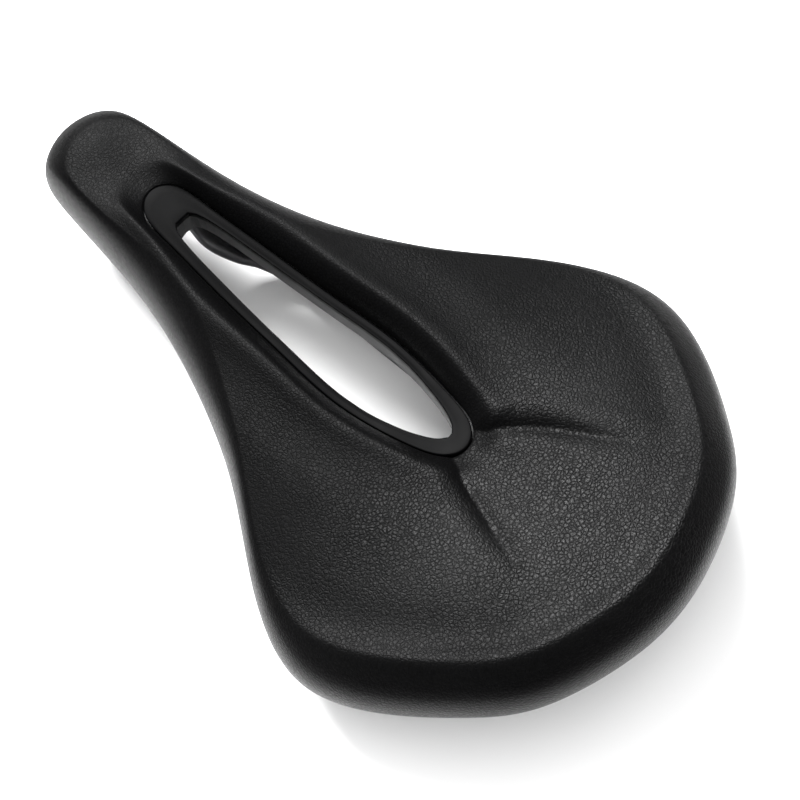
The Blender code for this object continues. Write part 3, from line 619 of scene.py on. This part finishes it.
def rod_mesh(name, path, radius, sides, chamfer):
    """Round rod along a path, with chamfered ends, as one closed mesh."""
    p = np.array(path, float)
    d = np.gradient(p, axis=0)
    d /= np.linalg.norm(d, axis=1)[:, None]
    side = np.cross(d, (0, 0, 1.0))
    side /= np.linalg.norm(side, axis=1)[:, None]
    up = np.cross(side, d)
    a = np.linspace(0, 2 * math.pi, sides, endpoint=False)
    rows = [c + radius * (np.cos(a)[:, None] * s + np.sin(a)[:, None] * u) for c, s, u in zip(p, side, up)]
    for end, way in ((0, 1), (-1, -1)):
        c, s, u = p[end], side[end], up[end]
        rim = c + (radius - chamfer) * (np.cos(a)[:, None] * s + np.sin(a)[:, None] * u)
        rows[end] = rows[end] + d[end] * way * chamfer
        rows.insert(0, rim) if end == 0 else rows.append(rim)
    bm = bmesh.new()
    verts = [[bm.verts.new(v * MM) for v in r] for r in rows]
    for r0, r1 in zip(verts, verts[1:]):
        for j in range(sides):
            k = (j + 1) % sides
            bm.faces.new((r0[j], r0[k], r1[k], r1[j]))
    bm.faces.new(verts[0])
    bm.faces.new(verts[-1])
    bmesh.ops.recalc_face_normals(bm, faces=bm.faces)
    mesh = bpy.data.meshes.new(name)
    bm.to_mesh(mesh)
    bm.free()
    mesh.shade_smooth()
    mesh.set_sharp_from_angle(angle=math.radians(35))
    obj = bpy.data.objects.new(name, mesh)
    bpy.context.scene.collection.objects.link(obj)
    return obj


rail = rod_mesh("bent_rail", rail_points(), ROD / 2, 40, 0.5)
finish_piece(rail, RAIL_MAT)
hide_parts("rail")

# ------------------------------------------------------------------ carried-over CAD pieces
NODE_MATERIALS = {"base_shell": NYLON, "rail": RAIL_MAT, "foam_pad": FOAM, "sit_pad_left": GEL, "sit_pad_right": GEL,
                  "nose_pad": RUBBER, "rear_bushing_left": RUBBER, "rear_bushing_right": RUBBER,
                  "nose_clamp": NYLON, "rear_clamp_left": NYLON, "rear_clamp_right": NYLON}
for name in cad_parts:
    obj = bpy.data.objects.get(name)
    if obj is None or name in ("cover", "cutout_trim", "foam_pad", "sit_pad_left", "sit_pad_right", "rail"):
        continue
    mat = NODE_MATERIALS.get(name, SCREW_MAT if "screw" in name else BRASS)
    if not obj.material_slots:
        obj.data.materials.append(mat)
    for s in obj.material_slots:
        s.material = mat

# ------------------------------------------------------------------ studio
floor_mesh = bpy.data.meshes.new("floor")
bm = bmesh.new()
bmesh.ops.create_grid(bm, x_segments=1, y_segments=1, size=3.0)
bm.to_mesh(floor_mesh)
bm.free()
floor = bpy.data.objects.new("floor", floor_mesh)
floor.location.z = -0.0002
bpy.context.scene.collection.objects.link(floor)
floor_mat, t, shader = new_material("white_floor")
shader.inputs["Base Color"].default_value = (0.86, 0.86, 0.86, 1)
shader.inputs["Roughness"].default_value = 0.7
floor_mesh.materials.append(floor_mat)


def softbox(name, direction, distance, size, power, colour=(1, 1, 1)):
    d = Vector(direction).normalized()
    light = bpy.data.lights.new(name, "AREA")
    light.shape = "RECTANGLE"
    light.size, light.size_y = size
    light.energy = power
    light.color = colour
    obj = bpy.data.objects.new(name, light)
    obj.location = d * distance
    obj.rotation_mode = "QUATERNION"
    obj.rotation_quaternion = d.to_track_quat("Z", "Y")
    bpy.context.scene.collection.objects.link(obj)
    return obj


softbox("window", (-0.20, -0.56, 0.80), 1.6, (0.80, 0.80), 88.0)
# broad fill that lights the table and the matt tones but leaves no second highlight
fill = softbox("overhead_fill", (0.12, 0.15, 1.0), 2.0, (2.6, 2.6), 80.0)
fill.visible_glossy = False
world = bpy.data.worlds.new("studio")
world.use_nodes = True
wt = world.node_tree
sky = wt.nodes.new("ShaderNodeTexCoord").outputs["Generated"]
parts = wt.nodes.new("ShaderNodeSeparateXYZ")
wt.links.new(sky, parts.inputs[0])
# the tent's walls are bright at the nose end and the sides, dim at the tail end and overhead
tall = ramp(wt, parts.outputs["Z"], [(0.0, 0.26), (0.12, 0.40), (0.45, 0.40), (0.70, 0.10), (1.0, 0.05)])
along = ramp(wt, math_node(wt, "MULTIPLY_ADD", parts.outputs["Y"], 0.5, 0.5), [(0.35, 1.0), (0.62, 0.30), (0.75, 0.12)])
wt.links.new(math_node(wt, "MULTIPLY", tall, along), wt.nodes["Background"].inputs[1])
wt.nodes["Background"].inputs[0].default_value = (0.98, 0.985, 1.0, 1)
bpy.context.scene.world = world
bpy.context.scene.view_settings.view_transform = "Standard"
